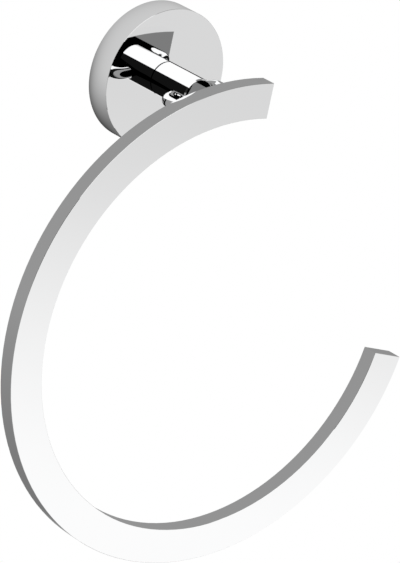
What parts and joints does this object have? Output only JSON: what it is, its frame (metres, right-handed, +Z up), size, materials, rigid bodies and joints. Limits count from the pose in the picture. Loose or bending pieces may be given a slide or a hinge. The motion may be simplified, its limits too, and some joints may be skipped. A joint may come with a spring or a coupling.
{
  "type": "towel ring",
  "caption": "Wall-fixed towel ring: a flat open ring on a bent rod through a short round post, carried by a round hollow flange over a screwed wall plate.",
  "frame": {"origin": "centre of the flange's back, on the wall's plane", "axes": "+Z up along the wall, +Y into the wall, so the ring stands out towards -Y, +X to the right as seen from the room"},
  "size_m": [0.1694, 0.0414, 0.1964],
  "materials": {
    "polished_chrome": "polished",
    "zinc_plate": "zinc plated",
    "screw_steel": "plain"
  },
  "bodies": {
    "root": {"wall_flange": "polished_chrome", "post": "polished_chrome", "ring_bridge": "polished_chrome", "towel_ring": "polished_chrome", "wall_plate": "zinc_plate", "grub_screw": "screw_steel", "post_screw": "screw_steel", "post_washer": "screw_steel"}
  },
  "joints": []
}
